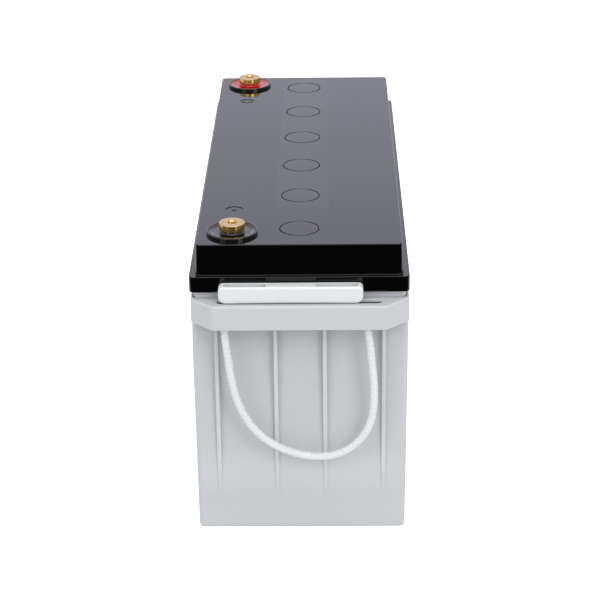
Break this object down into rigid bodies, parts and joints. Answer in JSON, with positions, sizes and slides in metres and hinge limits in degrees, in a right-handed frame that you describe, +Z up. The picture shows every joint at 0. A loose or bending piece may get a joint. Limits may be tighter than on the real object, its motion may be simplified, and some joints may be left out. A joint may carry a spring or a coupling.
{
  "type": "deep cycle battery",
  "caption": "Long block battery with a grey case, glossy black lid, flush round vent covers, brass bolt terminals and a rope handle with a white grip on a ledge at each end.",
  "frame": {"origin": "centre of the base, on the surface it stands on", "axes": "+Z up; +Y along the length, from the negative terminal's end to the positive terminal's end; +X across the width, away from the terminals' side"},
  "size_m": [0.17, 0.483, 0.2548],
  "materials": {
    "case_grey": "fine satin moulded ABS",
    "lid_black": "polished moulded ABS",
    "grip_white": "slightly translucent moulded polypropylene",
    "rope_white": "braided nylon",
    "terminal_brass": "turned, lightly worn",
    "seal_red": "glossy cast resin",
    "seal_black": "glossy cast resin",
    "valve_rubber": "moulded rubber",
    "cast_lead": "dull cast lead",
    "positive_paste": "cured lead dioxide paste",
    "negative_paste": "cured sponge lead paste",
    "glass_mat": "felted glass fibre"
  },
  "bodies": {
    "battery": {"case": "case_grey", "lid": "lid_black", "vent_cover_1": "lid_black", "valve_cap_1": "valve_rubber", "negative_plates_1": "negative_paste", "positive_plates_1": "positive_paste", "separator_1": "glass_mat", "cell_link_1": "cast_lead", "vent_cover_2": "lid_black", "valve_cap_2": "valve_rubber", "negative_plates_2": "negative_paste", "positive_plates_2": "positive_paste", "separator_2": "glass_mat", "cell_link_2": "cast_lead", "vent_cover_3": "lid_black", "valve_cap_3": "valve_rubber", "negative_plates_3": "negative_paste", "positive_plates_3": "positive_paste", "separator_3": "glass_mat", "cell_link_3": "cast_lead", "vent_cover_4": "lid_black", "valve_cap_4": "valve_rubber", "negative_plates_4": "negative_paste", "positive_plates_4": "positive_paste", "separator_4": "glass_mat", "cell_link_4": "cast_lead", "vent_cover_5": "lid_black", "valve_cap_5": "valve_rubber", "negative_plates_5": "negative_paste", "positive_plates_5": "positive_paste", "separator_5": "glass_mat", "cell_link_5": "cast_lead", "vent_cover_6": "lid_black", "valve_cap_6": "valve_rubber", "negative_plates_6": "negative_paste", "positive_plates_6": "positive_paste", "separator_6": "glass_mat", "negative_terminal": "terminal_brass", "negative_seal": "seal_black", "negative_o_ring": "valve_rubber", "negative_post": "cast_lead", "positive_terminal": "terminal_brass", "positive_seal": "seal_red", "positive_o_ring": "valve_rubber", "positive_post": "cast_lead", "front_rope_loop": "rope_white", "rear_rope_loop": "rope_white"},
    "front_handle": {"front_grip": "grip_white", "front_grip_rope": "rope_white"},
    "rear_handle": {"rear_grip": "grip_white", "rear_grip_rope": "rope_white"}
  },
  "joints": [
    {"name": "front_handle_lift", "type": "slide", "parent": "battery", "child": "front_handle", "axis": [0, 0, 1], "range_m": [0, 0.11]},
    {"name": "rear_handle_lift", "type": "slide", "parent": "battery", "child": "rear_handle", "axis": [0, 0, 1], "range_m": [0, 0.11]}
  ]
}
